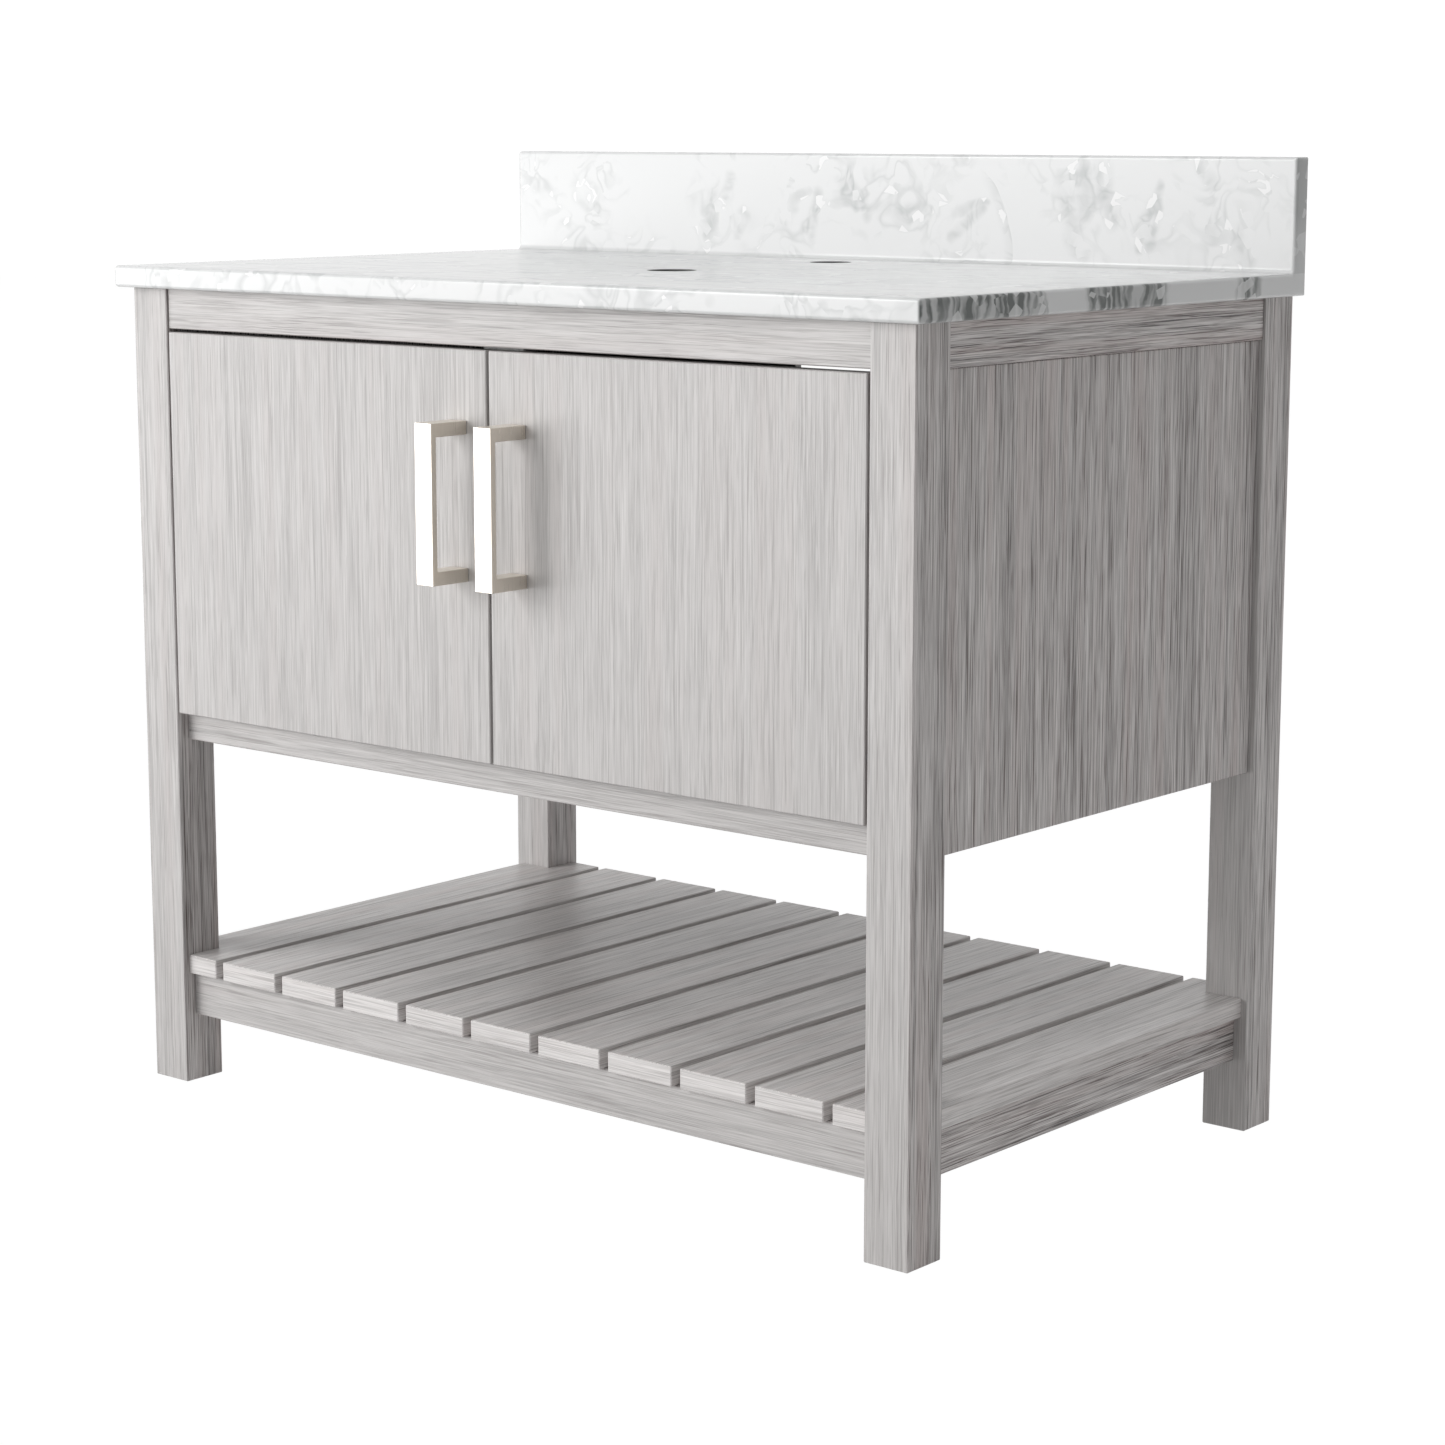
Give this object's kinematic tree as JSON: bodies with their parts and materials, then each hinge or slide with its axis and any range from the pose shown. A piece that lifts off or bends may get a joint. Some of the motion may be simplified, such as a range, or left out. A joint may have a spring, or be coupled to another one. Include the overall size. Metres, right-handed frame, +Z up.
{
  "type": "bathroom vanity cabinet",
  "caption": "Open-shelf bathroom vanity: square legs, flush doors with bar pulls, slatted shelf, and a stone top with a splash, drilled for a vessel sink and faucet.",
  "frame": {"origin": "on the floor, at the middle of the overall bounding box", "axes": "+X along the width, to the right seen from the front; +Y from the doors to the wall; +Z up"},
  "size_m": [0.9398, 0.6024, 0.8836],
  "materials": {
    "grey_ash": "light grey straight-grained ash-look veneer, satin",
    "marble": "polished white stone with soft grey veins",
    "brushed_nickel": "brushed warm nickel",
    "zinc_steel": "zinc-plated steel",
    "catch_plastic": "white moulded plastic"
  },
  "bodies": {
    "cabinet": {"leg_front_left": "grey_ash", "leg_back_left": "grey_ash", "leg_front_right": "grey_ash", "leg_back_right": "grey_ash", "top_rail_front": "grey_ash", "top_rail_back": "grey_ash", "top_rail_left": "grey_ash", "top_rail_right": "grey_ash", "shelf_rail_front": "grey_ash", "shelf_rail_back": "grey_ash", "shelf_rail_left": "grey_ash", "shelf_rail_right": "grey_ash", "lower_rail_front": "grey_ash", "lower_rail_back": "grey_ash", "side_panel_left": "grey_ash", "side_panel_right": "grey_ash", "cabinet_floor": "grey_ash", "back_panel": "grey_ash", "corner_brace_front_left": "grey_ash", "corner_brace_front_right": "grey_ash", "corner_brace_back_left": "grey_ash", "corner_brace_back_right": "grey_ash", "slat_01": "grey_ash", "slat_02": "grey_ash", "slat_03": "grey_ash", "slat_04": "grey_ash", "slat_05": "grey_ash", "slat_06": "grey_ash", "slat_07": "grey_ash", "slat_08": "grey_ash", "slat_09": "grey_ash", "slat_10": "grey_ash", "slat_11": "grey_ash", "countertop": "marble", "backsplash": "marble", "magnetic_catch": "catch_plastic", "hinge_leg_barrel_left_upper": "zinc_steel", "hinge_leg_barrel_left_lower": "zinc_steel", "hinge_leg_barrel_right_upper": "zinc_steel", "hinge_leg_barrel_right_lower": "zinc_steel"},
    "left_door": {"door_left": "grey_ash", "handle_left": "brushed_nickel", "handle_screw_left_upper": "zinc_steel", "handle_screw_left_lower": "zinc_steel", "strike_plate_left": "zinc_steel", "hinge_door_barrel_left_upper": "zinc_steel", "hinge_door_barrel_left_lower": "zinc_steel"},
    "left_hinge_links": {"hinge_link_left_upper": "zinc_steel", "hinge_link_left_lower": "zinc_steel"},
    "right_door": {"door_right": "grey_ash", "handle_right": "brushed_nickel", "handle_screw_right_upper": "zinc_steel", "handle_screw_right_lower": "zinc_steel", "strike_plate_right": "zinc_steel", "hinge_door_barrel_right_upper": "zinc_steel", "hinge_door_barrel_right_lower": "zinc_steel"},
    "right_hinge_links": {"hinge_link_right_upper": "zinc_steel", "hinge_link_right_lower": "zinc_steel"}
  },
  "joints": [
    {"name": "left_door_hinge", "type": "hinge", "parent": "cabinet", "child": "left_door", "pos_m": [-0.41095, -0.2576, 0.362], "axis": [0, 0, -1], "range_deg": [0, 105]},
    {"name": "left_hinge_link_turn", "type": "hinge", "parent": "cabinet", "child": "left_hinge_links", "pos_m": [-0.41095, -0.2576, 0.362], "axis": [0, 0, -1], "range_deg": [0, 52.6]},
    {"name": "right_door_hinge", "type": "hinge", "parent": "cabinet", "child": "right_door", "pos_m": [0.41095, -0.2576, 0.362], "axis": [0, 0, 1], "range_deg": [0, 105]},
    {"name": "right_hinge_link_turn", "type": "hinge", "parent": "cabinet", "child": "right_hinge_links", "pos_m": [0.41095, -0.2576, 0.362], "axis": [0, 0, 1], "range_deg": [0, 52.6]}
  ],
  "couplings": [
    {"joint": "left_hinge_link_turn", "follows": "left_door_hinge", "ratio": 0.5},
    {"joint": "right_hinge_link_turn", "follows": "right_door_hinge", "ratio": 0.5}
  ]
}
